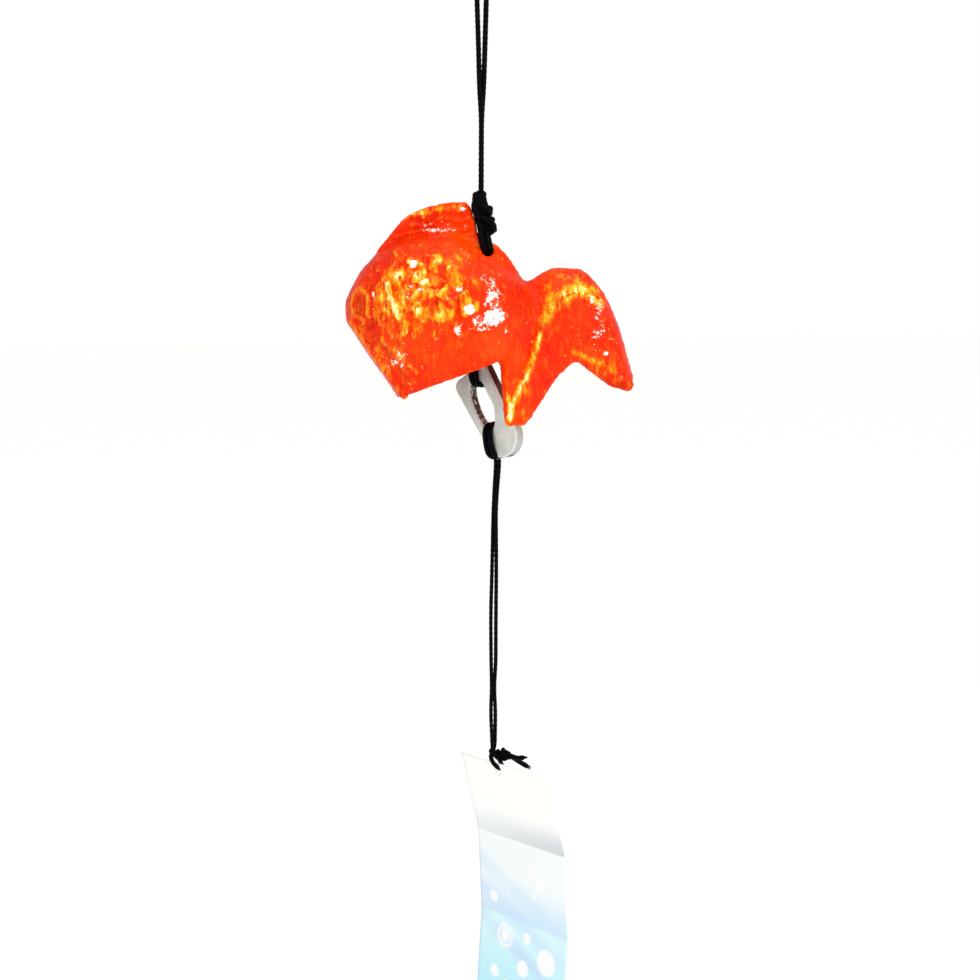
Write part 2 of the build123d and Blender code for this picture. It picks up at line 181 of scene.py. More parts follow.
# Materials
class Look:
    """A material and the nodes in it."""

    def __init__(self, name, roughness, specular):
        self.material = bpy.data.materials.new(name)
        self.material.use_nodes = True
        self.shader = self.material.node_tree.nodes["Principled BSDF"]
        self.set("Roughness", roughness)
        self.set("Specular IOR Level", specular)
        self.place = self.node("TexCoord").outputs["Object"]

    def feed(self, socket, value):
        """Links a socket to another one, or sets its value."""
        if isinstance(value, bpy.types.NodeSocket):
            self.material.node_tree.links.new(value, socket)
        elif socket.type == "RGBA":
            socket.default_value = (*value, 1)
        else:
            socket.default_value = value

    def set(self, name, value):
        self.feed(self.shader.inputs[name], value)

    def node(self, kind, *inputs, **settings):
        """A new node with its first inputs fed, and inputs or settings given by name."""
        made = self.material.node_tree.nodes.new("ShaderNode" + kind)
        for socket, value in zip(made.inputs, inputs):
            self.feed(socket, value)
        for name, value in settings.items():
            if name in made.inputs:
                self.feed(made.inputs[name], value)
            else:
                setattr(made, name, value)
        return made

    def bump(self, height, strength, distance):
        made = self.node("Bump", Height=height, Strength=strength, Distance=distance)
        self.set("Normal", made.outputs["Normal"])

    def noise(self, scale, detail=3, rough=0.5, place=None, distortion=0):
        made = self.node("TexNoise", Scale=scale, Detail=detail, Roughness=rough,
                         Distortion=distortion, Vector=place or self.place)
        return made.outputs["Fac"]

    def ramp(self, source, *stops):
        """A colour that runs through these stops, each a place and a colour."""
        made = self.node("ValToRGB", source)
        elements = made.color_ramp.elements
        while len(elements) < len(stops):
            elements.new(0.5)
        for element, (place, colour) in zip(elements, stops):
            element.position = place
            element.color = (*colour, 1)
        return made.outputs["Color"]

    def mix(self, factor, a, b):
        made = self.node("Mix", factor, data_type="RGBA", clamp_factor=True)
        self.feed(made.inputs[6], a)
        self.feed(made.inputs[7], b)
        return made.outputs[2]

    def maths(self, kind, a, b=0, clamp=False):
        return self.node("Math", a, b, operation=kind, use_clamp=clamp).outputs[0]

    plus = partialmethod(maths, "ADD")
    minus = partialmethod(maths, "SUBTRACT")
    times = partialmethod(maths, "MULTIPLY")

    def rise(self, source, start, end):
        """0 at start and 1 at end, smoothly."""
        made = self.node("MapRange", source, min(start, end), max(start, end), float(start > end),
                         float(start < end), interpolation_type="SMOOTHSTEP")
        return made.outputs["Result"]


def cord_material():
    look = Look("waxed_cord", 0.42, 0.04)
    grain = look.noise(1400, 3, 0.6)
    look.set("Base Color", look.ramp(grain, (0.35, (0.0005, 0.0005, 0.0005)), (0.8, (0.003, 0.003, 0.0035))))
    look.bump(grain, 0.8, 0.0003)
    return look.material


def metal_material(name, dark, light, rough, specular, painted_glint_amount=0):
    """Mottled grey iron, with bright specks that are painted glints."""
    look = Look(name, rough, specular)
    fine = look.noise(1500, 3, 0.65)
    mottle = look.plus(look.times(look.noise(190, 3, 0.6), 0.6), look.times(fine, 0.4))
    colour = look.ramp(mottle, (0.38, dark), (0.62, light))
    specks = look.rise(look.noise(1100, 2, 0.5), 0.57, 0.6)
    look.set("Base Color", look.mix(look.times(specks, painted_glint_amount), colour, (0.95, 0.95, 0.93)))
    look.bump(fine, 0.5, 0.0003)
    return look.material


# The paper's colours down the strip; the dip to a darker grey-blue just above the second crease, at 0.33, is
# painted crease shade. Its slanting washes: middle, half width, colour, strength
PAPER_STOPS = (
    (0, (1, 1, 0.975)), (0.166, (0.98, 1, 0.985)), (0.172, (0.94, 1, 1)),
    (0.25, (0.93, 0.99, 1)), (0.33, (0.64, 0.84, 1)), (0.338, (0.74, 0.98, 1)),
    (0.5, (0.5, 0.88, 1)), (0.75, (0.3, 0.72, 1)), (1, (0.22, 0.56, 0.97)))
PAPER_WASHES = (
    # The wash at 0.345 lies along the second crease and is painted crease shade.
    (0.225, 0.04, (0.66, 0.84, 1), 0.55), (0.285, 0.035, (0.6, 0.74, 1), 0.45),
    (0.345, 0.03, (0.58, 0.66, 0.97), 0.55), (0.62, 0.06, (0.25, 0.5, 0.98), 0.5))
WASH_SLANT = -0.11
# Bubbles: a place across and down the strip, and a radius. The last three have a ring
BUBBLES = (
    (0.6, 0.225, 0.01), (0.71, 0.245, 0.014), (0.63, 0.272, 0.007), (0.16, 0.3, 0.012),
    (0.55, 0.362, 0.011), (0.78, 0.395, 0.026), (0.52, 0.425, 0.017), (0.2, 0.45, 0.012),
    (0.34, 0.468, 0.01), (0.66, 0.47, 0.014), (0.42, 0.56, 0.024), (0.22, 0.64, 0.018),
    (0.62, 0.655, 0.013), (0.36, 0.77, 0.014), (0.55, 0.86, 0.02), (0.24, 0.905, 0.011),
    (0.3, 0.372, 0.024), (0.84, 0.52, 0.018), (0.74, 0.735, 0.025))
RINGED = 3


def bubble(look, across, down, x, y, radius, ringed):
    """1 inside a round bubble, which may have a clear ring in it."""
    dx = look.times(look.minus(across, x), WIDTH / (PITCH * len(LEANS)))
    dy = look.minus(down, y)
    away = look.maths("SQRT", look.plus(look.times(dx, dx), look.times(dy, dy)))
    inside = look.rise(away, radius * 1.15, radius * 0.85)
    if ringed:
        gap = look.times(look.rise(away, radius * 0.42, radius * 0.58),
                         look.rise(away, radius * 0.86, radius * 0.7))
        inside = look.minus(inside, look.times(gap, 0.65), True)
    return inside


def paper_material():
    """Paper that turns from white to pale blue, with pale round bubbles and painted shade above its first two
    creases.
    """
    look = Look("strip_paper", 0.8, 0.1)
    split = look.node("SeparateXYZ", look.node("UVMap", uv_map="strip").outputs["UV"])
    across, down = split.outputs[0], split.outputs[1]
    blue = look.ramp(down, *PAPER_STOPS)
    soft = look.rise(look.noise(28, 2, 0.5), 0.3, 0.6)
    slant = look.plus(down, look.times(across, WASH_SLANT))
    for middle, half, colour, strength in PAPER_WASHES:
        away = look.maths("ABSOLUTE", look.minus(slant, middle))
        band = look.times(look.rise(away, half, 0), strength)
        blue = look.mix(look.times(band, soft), blue, colour)
    # Painted shade: a grey band just above the first crease, darker towards the right edge.
    above_crease = look.times(look.rise(down, 0.095, 0.166), look.rise(down, 0.1695, 0.1665))
    shade = look.times(above_crease, look.plus(0.3, look.times(across, 0.5)))
    blue = look.mix(shade, blue, (0.55, 0.62, 0.66))
    cover = 0
    for k, place in enumerate(BUBBLES):
        ringed = k >= len(BUBBLES) - RINGED
        cover = look.maths("MAXIMUM", cover, bubble(look, across, down, *place, ringed))
    look.set("Base Color", look.mix(look.times(cover, 0.92), blue, (1, 1, 1)))
    look.bump(look.noise(900, 3, 0.6), 0.08, 0.0002)
    return look.material


def lacquer_material():
    """Orange-red lacquer, rubbed to amber where the casting stands proud, with painted shade in its hollows
    and painted glints.
    """
    look = Look("lacquered_iron", 0.15, 0.09)
    noise, rise, plus, times, mix = look.noise, look.rise, look.plus, look.times, look.mix
    wear, painted_shade, painted_glint, wash = [look.node("Attribute", attribute_name=name).outputs["Fac"]
                               for name in ("wear", "painted_shade", "painted_glint", "wash")]
    stretched = look.node("Mapping", Vector=look.place, Rotation=(0, 0.35, 0), Scale=(1, 1, 0.28))
    brushed = noise(760, 4, 0.65, stretched.outputs[0], 0.5)
    uneven = noise(260, 4, 0.65)
    fine = noise(560, 4, 0.65)
    grit = noise(1700, 3, 0.7)

    base = look.ramp(noise(75, 3, 0.6), (0.32, (0.74, 0.012, 0)), (0.5, (0.88, 0.026, 0)),
                     (0.72, (0.98, 0.062, 0)))
    colour = mix(times(rise(brushed, 0.5, 0.68), 0.55), base, (1, 0.13, 0.002))

    thin = times(times(wash, rise(uneven, 0.36, 0.66)), rise(brushed, 0.3, 0.62))
    rub = times(wear, rise(brushed, 0.3, 0.64))
    rub = times(rub, plus(0.35, times(uneven, 1.3)))
    rub = plus(rub, times(thin, 0.6), True)
    amber = look.ramp(rub, (0, (1, 0.06, 0)), (0.25, (1, 0.16, 0.002)), (0.5, (1, 0.36, 0.006)),
                      (0.75, (1, 0.62, 0.03)), (0.95, (1, 0.9, 0.42)))
    colour = mix(rise(rub, 0.04, 0.3), colour, amber)
    # Painted shade: a darker red in the hollows, along the shade lines and inside the bell.
    colour = mix(times(painted_shade, 0.75, True), colour, (0.48, 0.02, 0))

    pits = times(rise(grit, 0.6, 0.69), plus(0.25, times(rub, 0.7), True))
    colour = mix(pits, colour, (0.42, 0.035, 0))
    specks = times(rise(noise(620, 3, 0.6), 0.655, 0.7), 0.75)
    colour = mix(specks, colour, (1, 0.42, 0.08))
    # Painted glints: near-white spots broken up by noise, strongest at the glint places.
    broken = plus(times(noise(1000, 4, 0.75), 0.7), times(uneven, 0.5))
    painted_glint_spots = plus(times(painted_glint, 0.5), look.minus(broken, 0.95))
    look.set("Base Color", mix(rise(painted_glint_spots, 0, 0.04), colour, (1, 0.94, 0.82)))
    look.bump(plus(times(fine, 0.7), times(grit, 0.4)), 0.6, 0.0008)
    return look.material


# The fish's shape, as in the part
LENGTH = 52.3
AHEAD = 40
HALF = 18.7
DEPTH = 57.2
RISE = 5.2
WALL = 2.4
CAVITY_AHEAD = 0.8
CAVITY_MIDDLE = (0.5, 0.37)
RIM_DROP = 30.3
RIM_AHEAD = 3
RIM_SLOPE = radians(19.5)
BODY_END = 12.6
BORE = 1.6
WELL_LONG = 3.4
WELL_WIDE = 2.7
WELL_DEPTH = 6
# Body sections: shares of the length, of the depth for back, widest level and keel, and of the
# half width
STATIONS = np.array([
    (0, 0.327, 0.376, 0.423, 0.16), (0.033, 0.262, 0.367, 0.467, 0.33), (0.105, 0.159, 0.358, 0.572, 0.55),
    (0.21, 0.075, 0.358, 0.712, 0.75), (0.363, 0.021, 0.362, 0.913, 0.92), (0.555, 0, 0.365, 1, 1),
    (0.707, 0.066, 0.371, 1, 0.973), (0.822, 0.133, 0.379, 0.965, 0.872), (0.918, 0.2, 0.406, 0.878, 0.695),
    (1, 0.276, 0.441, 0.755, 0.508)])
# Tail sections: the ridge and the lower edge as shares of the tail's length and drop, the share
# of its width, and how far down and out the fold is half way
TAIL = np.array([
    (0, 0.166, 0.029, 0.984, 0.985, 0.5, 0.66), (0.171, 0.109, 0.109, 1, 1, 0.36, 0.545),
    (0.286, 0.057, 0.243, 0.866, 0.907, 0.34, 0.54), (0.429, 0.005, 0.4, 0.707, 0.75, 0.29, 0.6),
    (0.586, 0.011, 0.571, 0.618, 0.674, 0.3, 0.65), (0.743, 0.12, 0.743, 0.695, 0.75, 0.28, 0.57),
    (0.871, 0.33, 0.886, 0.763, 0.83, 0.31, 0.56), (0.974, 0.609, 0.972, 0.763, 0.88, 0.37, 0.59)])
TAIL_FRONT = np.array((4.5, -4.7))
TAIL_SIZE = np.array((35, -44))
TAIL_HALF = 19.3
TAIL_SHORTER = 0.972
# Side outlines of the dorsal fin and of the crest, as shares of a box with a corner and a size
FIN_BOX = ((-29.2, -1), (26.6, 14.5))
FIN = ((-0.05, 0.12), (0.055, 0.35), (0.175, 0.62), (0.29, 0.8), (0.44, 0.905), (0.598, 0.975),
       (0.733, 1.01), (0.885, 1.005), (0.925, 0.91), (0.978, 0.628), (1.003, 0.338), (0.975, 0.02),
       (0.9, -0.3), (0, -0.3))
CREST_BOX = ((-6, 3.6), (15, -13))
CREST = ((-0.2, 0), (0, 0), (0.22, 0.01), (0.4, 0.04), (0.6, 0.165), (0.8, 0.42), (0.98, 0.75),
         (0.96, 1), (0, 1))

# The grid for the casting. A solid on it says how far each point lies outside, negative inside
STEP = 0.34
LOW, HIGH = np.array((-41.5, -21.5, -51.5)), np.array((41.5, 21.5, 15.5))
GRID = [LOW[k] + STEP * np.arange(int((HIGH[k] - LOW[k]) / STEP) + 1) for k in range(3)]
X, Y, Z = GRID[0][:, None, None], GRID[1][None, :, None], GRID[2][None, None, :]
SIDE_X, SIDE_Z = np.meshgrid(GRID[0], GRID[2], indexing="ij")
FAR = 30


def spline(x, xs, ys):
    """A smooth curve through points, with slopes that never overshoot."""
    d = np.diff(ys) / np.diff(xs)
    both = d[1:] * d[:-1]
    slope = np.concatenate([d[:1], np.where(both > 0, 2 * both / (d[1:] + d[:-1] + 1e-12), 0), d[-1:]])
    i = np.clip(np.searchsorted(xs, x) - 1, 0, len(xs) - 2)
    run = xs[i + 1] - xs[i]
    t = np.clip((x - xs[i]) / run, 0, 1)
    return ((2 * t**3 - 3 * t**2 + 1) * ys[i] + (t**3 - 2 * t**2 + t) * run * slope[i]
            + (3 * t**2 - 2 * t**3) * ys[i + 1] + (t**3 - t**2) * run * slope[i + 1])


def station(x):
    """The body's back, widest level, keel and half width at x."""
    along = (x + AHEAD) / LENGTH
    levels = [RISE - DEPTH * spline(along, STATIONS[:, 0], STATIONS[:, k]) for k in (1, 2, 3)]
    return *levels, HALF * spline(along, STATIONS[:, 0], STATIONS[:, 4])


def line_distance(px, pz, points):
    """Distance from each place to a line through these points."""
    best = np.full(px.shape, 1e9)
    p = np.asarray(points, float)
    for (ax, az), (bx, bz) in zip(p, p[1:]):
        ex, ez = bx - ax, bz - az
        t = np.clip(((px - ax) * ex + (pz - az) * ez) / (ex * ex + ez * ez + 1e-12), 0, 1)
        best = np.minimum(best, np.hypot(px - ax - ex * t, pz - az - ez * t))
    return best


def outline_distance(box, shares):
    """Distance on the side view to a closed outline, negative inside."""
    p = np.array(box[0]) + np.array(shares) * box[1]
    inside = np.zeros(SIDE_X.shape, bool)
    for (ax, az), (bx, bz) in zip(p, np.roll(p, -1, 0)):
        spans = (az > SIDE_Z) != (bz > SIDE_Z)
        inside ^= spans & (SIDE_X < (SIDE_Z - az) / (bz - az + 1e-12) * (bx - ax) + ax)
    away = line_distance(SIDE_X, SIDE_Z, np.concatenate([p, p[:1]]))
    return np.where(inside, -away, away)


def through(side):
    """Values of the side view, the same all through the fish."""
    return side[:, None, :]


def union(a, b, blend):
    """Two solids as one, with a fillet about this wide."""
    h = np.clip(0.5 + 0.5 * (b - a) / blend, 0, 1)
    return b * (1 - h) + a * h - blend * h * (1 - h)


def slab(side, half, round_by):
    """A flat piece with this side outline and thickness, its edges rounded."""
    a, b = through(side) + round_by, np.abs(Y) - half + round_by
    return np.minimum(np.maximum(a, b), 0) + np.hypot(np.maximum(a, 0), np.maximum(b, 0)) - round_by


def egg(back, middle, keel, half):
    """A body with these sections."""
    dz = Z - middle
    height = np.where(dz > 0, back - middle, middle - keel)
    share = np.sqrt((Y / half) ** 2 + (dz / height) ** 2) + 1e-6
    return np.sqrt(Y * Y + dz * dz) * (1 - 1 / share)


def balls(points, radius, reach):
    """Many small balls, worked out only as far as their reach."""
    field = np.full([len(line) for line in GRID], FAR, np.float32)
    flat = field.ravel()
    base = np.floor((points - LOW) / STEP).astype(int)
    for step in product(range(-int(reach / STEP), int(reach / STEP) + 2), repeat=3):
        cell = base + step
        ok = ((cell >= 0) & (cell < field.shape)).all(1)
        away = norm(cell[ok] * STEP + LOW - points[ok], axis=1) - radius[ok]
        np.minimum.at(flat, np.ravel_multi_index(cell[ok].T, field.shape), away)
    return field


def tail_balls():
    """Places on the middle surface of the folded tail, and half its thickness there."""
    s = np.linspace(0, TAIL[-1, 0], 90)
    columns = [spline(s, TAIL[:, 0], TAIL[:, k]) for k in range(1, 7)]
    t = np.linspace(0, 1, 70)
    thick = 2.1 - 0.55 * t**2
    places, radius = [], []
    for share, ridge_z, edge_x, edge_z, width, down, out in zip(s, *columns):
        ridge = TAIL_FRONT + TAIL_SIZE * (share, ridge_z)
        edge = TAIL_FRONT + TAIL_SIZE * (edge_x, edge_z)
        way = unit(edge - ridge)
        half = width * TAIL_HALF - 0.2
        drop = norm(edge - ridge) - 3.1 + 0.9 * share
        # curves that pass through the given shares half way
        bend = half * (out - 0.5) / (0.5**3 - 0.5)
        y = (half - bend) * t + bend * t**3
        square, cube = np.linalg.solve([(0.5**2, 0.5**3), (1, 1)], (down * drop, drop))
        fall = square * t**2 + cube * t**3
        # the sheet lies inside its outer face
        dy, dfall = np.gradient(y), np.gradient(fall)
        length = np.hypot(dy, dfall)
        y = y - dfall / length * thick
        fall = fall + dy / length * thick
        kept = y > -0.3
        x = TAIL_FRONT[0] + TAIL_SHORTER * (ridge[0] - TAIL_FRONT[0] + way[0] * fall)
        for sign in (-1, 1):
            places.append(np.stack([x, sign * y, ridge[1] + way[1] * fall], 1)[kept])
            radius.append(thick[kept])
    return np.concatenate(places), np.concatenate(radius)


def rod(a, b, ra, rb, n):
    """Balls along a straight line, whose radius runs from ra to rb."""
    t = np.linspace(0, 1, n)[:, None]
    return np.asarray(a) * (1 - t) + np.asarray(b) * t, ra + (rb - ra) * t[:, 0]


def small_fin_balls():
    """The rays of both cheek fins, and the tail's two front edges."""
    rods = []
    for sign in (-1, 1):
        elbow = (12.4, sign * 14.6, -30)
        rods.append(rod((14.5, sign * 10.4, -21), elbow, 0.9, 1.3, 60))
        rods.append(rod(elbow, (7.6, sign * 17.4, -45.6), 1.3, 1.8, 90))
        for t in (0, 0.12, 0.24, 0.36, 0.47, 0.58, 0.68, 0.79, 0.9, 1):
            fat = 1.15 if t in (0, 0.36, 0.68, 1) else 0.75
            top = (-37.6 + 8.2 * t, sign * (7.6 + 4.6 * t), -19 - 4.6 * t)
            tip = (-23.4 + 4 * t, sign * (13.2 + 1.5 * t), -39.3 + 6.3 * t)
            rods.append(rod(top, tip, fat * 0.9, fat, 80))
    return [np.concatenate(part) for part in zip(*rods)]


# The cast relief on the side view. Scales: middle, two radii and height
SCALES = (
    (-5.5, -15.1, 2.9, 3.4, 1.5), (-8.9, -7, 2.7, 3.9, 1.1), (-20.5, -3, 2.3, 2.5, 1),
    (-17.6, -6.6, 2.3, 3.4, 1.1), (-15.7, -11.5, 2.5, 2.6, 1.2), (-11.4, -11.9, 2.5, 2.6, 1.1),
    (-24.5, -6.5, 1.9, 2.8, 0.9), (-18.3, -16.4, 2.5, 3, 0.9), (-11.7, -17.5, 2.5, 3.1, 1.1),
    (-8, -21.4, 2.2, 2.4, 0.7), (-23.3, -13.3, 1.8, 2.7, 0.8), (-13.7, -3.2, 2.5, 2.8, 1.1),
    (-14, -22.5, 2.4, 2.4, 0.5), (-2.8, -8.6, 2.2, 2.8, 0.6), (-24.2, -1.7, 1.9, 2.1, 0.6),
    (-19.5, -21.5, 2.2, 2.3, 0.5))
# Gill ridges and grooves: a line, its height or depth, and its width
GILL = ((-27.5, -8.9), (-26.5, -13.2), (-25, -16), (-23.6, -19), (-22.6, -22))
RIDGES = (
    (GILL, 1.3, 0.85),
    (((-29.3, -10.5), (-28.8, -14), (-27.2, -17.3), (-27, -20.3)), 0.7, 0.8),
    (((-22, -8.7), (-20.7, -12.2), (-18.3, -13.6), (-16.7, -16.3), (-15.4, -18.8), (-14.1, -21.8)), 0.8, 0.7),
    (((-16.9, -0.4), (-14.8, -2.9), (-13.5, -5.6), (-11.4, -8.3)), 0.6, 0.7),
    (((-33.6, -20.6), (-31, -20.3), (-29, -18.6), (-28.2, -15)), 0.6, 0.9))
GROOVES = (
    (((-25.9, -23), (-23.2, -24.6), (-20.4, -27.6), (-18.4, -31.5)), 0.5, 0.8),
    (((-31.5, -5), (-30.4, -8), (-30.6, -17), (-32.2, -19.2)), 0.45, 0.8),
    (((-26.2, -6), (-25.6, -10), (-24.2, -14.6), (-22.4, -18), (-21.2, -22.4)), 0.5, 0.7))
EYE = (-35.3, -14.1)
EYE_RADII = (2.5, 3.9)
SCALED = (-18, -12, 15, 13)


def waves(px, pz, length, seed, count=9):
    """A smooth uneven surface, about 1 high, with bumps of this length."""
    dice = np.random.default_rng(seed)
    out = np.zeros(px.shape)
    for _ in range(count):
        way, phase = dice.uniform(0, 2 * pi, 2)
        k = 2 * pi / (length * dice.uniform(0.75, 1.5))
        out += np.sin(k * (px * cos(way) + pz * sin(way)) + phase)
    return out / sqrt(count / 2)


def zone(px, pz, x, z, rx, rz):
    """1 round a place on the side view, fading out at these radii."""
    return np.exp(-(((px - x) / rx) ** 2 + ((pz - z) / rz) ** 2) ** 1.5)


def stroke(px, pz, points, width):
    """1 on a line of the side view, fading out at this width."""
    return np.exp(-(line_distance(px, pz, points) / width) ** 2)


def from_eye(px, pz):
    """Distance from the middle of the eye, 1 on its ring."""
    return np.hypot((px - EYE[0]) / EYE_RADII[0], (pz - EYE[1]) / EYE_RADII[1])


def relief(px, pz):
    """How far the scales, gill lines and eye stand out on the side view."""
    wx = px + 0.55 * waves(px, pz, 5.5, 1)
    wz = pz + 0.55 * waves(px, pz, 5.5, 2)
    h = np.zeros(px.shape)
    for x, z, rx, rz, height in SCALES:
        d = np.hypot((wx - x) / rx, (wz - z) / rz)
        lift = height * np.sqrt(np.clip(1 - d**2.4, 0, 1)) * (1 - 0.35 * (wx - x) / rx)
        h = np.where(d < 1, np.maximum(h, lift), h - 0.35 * np.exp(-((d - 1.12) / 0.14) ** 2))
    for points, height, width in RIDGES:
        h = np.maximum(h, height * stroke(wx, wz, points, width))
    for points, depth, width in GROOVES:
        h = h - depth * stroke(px, pz, points, width)
    h = h + zone(px, pz, *SCALED) * (0.2 * waves(px, pz, 3.2, 3) + 0.1 * waves(px, pz, 1.6, 4))
    d = from_eye(px, pz)
    ring, socket = np.exp(-((d - 1) / 0.26) ** 2), np.exp(-(d / 0.62) ** 4)
    eye = 0.55 * ring - 0.7 * socket + 0.5 * np.exp(-(d / 0.25) ** 2)
    h = np.where(d < 1.9, np.maximum(h * smooth(1.2, 1.9, d), -1) + eye, h)
    return np.maximum(h, -0.7)


# The casting's solids on the grid
def rim():
    """All below the bell's slanting mouth."""
    return (-RIM_DROP - Z + (X - RIM_AHEAD) * tan(RIM_SLOPE)) * cos(RIM_SLOPE)


def fish_body():
    back, middle, keel, half = station(X)
    lift = through(relief(SIDE_X, SIDE_Z)) * smooth(0.25, 0.6, np.abs(Y) / half)
    skin = egg(back, middle, keel, half) - lift
    skin = np.maximum(skin, np.maximum(-AHEAD + 0.2 - X, X - BODY_END))
    return np.maximum(skin, rim())


def dorsal_fin():
    away = outline_distance(FIN_BOX, FIN)
    ribs = np.cos((SIDE_Z - 0.1 * SIDE_X) * 2.6 + 0.9 * waves(SIDE_X, SIDE_Z, 7, 6))
    ribs = 0.5 * ribs * smooth(0.5, 2, -away)
    return slab(away, 2.1 - 0.05 * np.clip(Z, 0, 14) + through(ribs), 0.9)


def crest():
    return slab(outline_distance(CREST_BOX, CREST) + 0.1, 3.4, 2)


def cavity():
    middle_x = CAVITY_MIDDLE[0] * LENGTH - AHEAD
    middle_z = RISE - CAVITY_MIDDLE[1] * DEPTH
    less_x, less_y, less_z = (1 - WALL / size for size in (LENGTH / 2, HALF, RISE - middle_z))
    x = (X + CAVITY_AHEAD - middle_x) / less_x + middle_x
    *levels, half = station(x)
    back, middle, keel = (middle_z + (level - middle_z) * less_z for level in levels)
    hollow = np.where((x < -AHEAD) | (x > LENGTH - AHEAD), 3, egg(back, middle, keel, half * less_y))
    return np.maximum(hollow, rim() - 1)


def cord_hole():
    """The bore across the crest and the well from it down into the bell."""
    bore = np.hypot(X, Z) - BORE + 0 * Y
    well = (np.hypot(X / WELL_LONG, Y / WELL_WIDE) - 1) * WELL_WIDE
    return np.minimum(bore, np.maximum(well, np.maximum(Z, -WELL_DEPTH - Z)))


def fish_field():
    """All the casting's metal."""
    solid = union(fish_body(), dorsal_fin(), 1.6)
    solid = union(solid, crest(), 1.2)
    solid = union(solid, balls(*tail_balls(), 2.7), 1.6)
    solid = union(solid, balls(*small_fin_balls(), 3.2), 1.5)
    solid = solid - 0.07 * through(waves(SIDE_X, SIDE_Z, 1.9, 5))
    solid = np.maximum(solid, -cavity())
    return np.maximum(solid, -cord_hole())


def surface_net(field):
    """A smooth quad mesh of the surface where the field is zero."""
    cells = np.array(field.shape) - 1
    quads, ids, places = [], [], []
    for axis in range(3):
        near, far = np.delete(field, -1, axis), np.delete(field, 0, axis)
        crossed = (near < 0) != (far < 0)
        at, near, far = np.argwhere(crossed), near[crossed], far[crossed]
        place = at.astype(float)
        place[:, axis] += near / (near - far)
        corners = []
        for step in ((0, 0), (-1, 0), (-1, -1), (0, -1)):
            cell = at.copy()
            cell[:, [(axis + 1) % 3, (axis + 2) % 3]] += step
            corners.append(np.ravel_multi_index(cell.T, cells))
            places.append(place)
        ids += corners
        quad = np.stack(corners, 1)
        quad[near > 0] = quad[near > 0][:, ::-1]
        quads.append(quad)
    ids, places, quads = np.concatenate(ids), np.concatenate(places), np.concatenate(quads)
    used, inverse = np.unique(ids, return_inverse=True)
    verts = np.stack([np.bincount(inverse, places[:, k]) / np.bincount(inverse) for k in range(3)], 1)
    return verts * STEP + LOW, np.searchsorted(used, quads)


def relax(verts, quads, rounds):
    """Moves each point half way to the mean of its neighbours, again and again."""
    starts, ends = quads.ravel(), np.roll(quads, -1, 1).ravel()
    n = len(verts)
    count = np.maximum(np.bincount(starts, minlength=n), 1)[:, None]
    for _ in range(rounds):
        mean = np.stack([np.bincount(starts, verts[ends, k], minlength=n) for k in range(3)], 1) / count
        verts = verts + 0.5 * (mean - verts)
    return verts


def vertex_normals(verts, quads):
    face = np.cross(verts[quads[:, 2]] - verts[quads[:, 0]], verts[quads[:, 3]] - verts[quads[:, 1]])
    out = np.zeros_like(verts)
    for corner in quads.T:
        np.add.at(out, corner, face)
    return out / np.maximum(norm(out, axis=1), 1e-9)[:, None]


# Where the lacquer is rubbed, and where painted shade darkens it along grooves, round the eye and mouth and
# along the tail's lower edge: a line on the side view, its width and its strength
TAIL_RUBBED = (
    (((14.3, -23.1), (12.6, -27.4), (11.2, -31.5), (8.4, -38), (6.1, -41.8), (5.5, -45.9)), 0.75, 1),
    (((15, -19.8), (16.4, -17.4), (18.6, -15.2), (21.7, -13.1), (25.3, -11.5), (28.6, -11.6), (30.7, -14.9)),
     1.6, 0.75),
    (((21, -14), (21.5, -8), (20, -6.5)), 1.2, 0.35), (((17, -15.5), (16.6, -10)), 1.2, 0.3),
    (((26, -11.5), (25.5, -8.5)), 1.3, 0.4), (((3.7, -36.2), (5, -41.9), (5.2, -45.7)), 0.8, 0.7),
    (((23.2, -28.1), (27.6, -30.1), (31.2, -31.5), (33.6, -33.7)), 0.8, 0.6))
BODY_RUBBED = (
    (GILL, 0.8, 0.7), (((-29.3, -10.5), (-28.8, -14), (-27.2, -17.3)), 0.9, 0.35),
    (((-37.7, -19.9), (-24, -38.9)), 0.7, 0.3),
    (((-29.2, -24.1), (-26.5, -26.3), (-23, -29.6), (-19.8, -32.9)), 0.7, 0.6),
    (((-20.8, 10.4), (-15.8, 11.2), (-11.1, 12.2), (-6.9, 12.4)), 0.7, 0.5),
    (((-24.5, -6.5), (-17.6, -6.6), (-15.7, -11.5)), 1.8, 0.3), (((-9.5, -3.5), (-4, -0.6)), 1.3, 0.3),
    (((-18.5, -15.8), (-17.2, -19)), 1.6, 0.35), (((-24, -8), (-24.6, -15)), 1.4, 0.3))
PAINTED_SHADE_LINES = (
    (((-35.6, -13), (-35.6, -16.2)), 1.5, 0.65), (((-34.5, -21), (-31.6, -20.6)), 1, 0.5),
    (((14.4, -20.6), (14.2, -22)), 0.7, 1), (((30.8, -34.6), (34.3, -36.6), (37.3, -36.6)), 1.3, 0.45),
    (((-31.5, -22.5), (-27, -28.5), (-22.6, -34.6)), 0.6, 0.6), (((-24.8, -24.6), (-20, -30.2)), 0.7, 0.4))
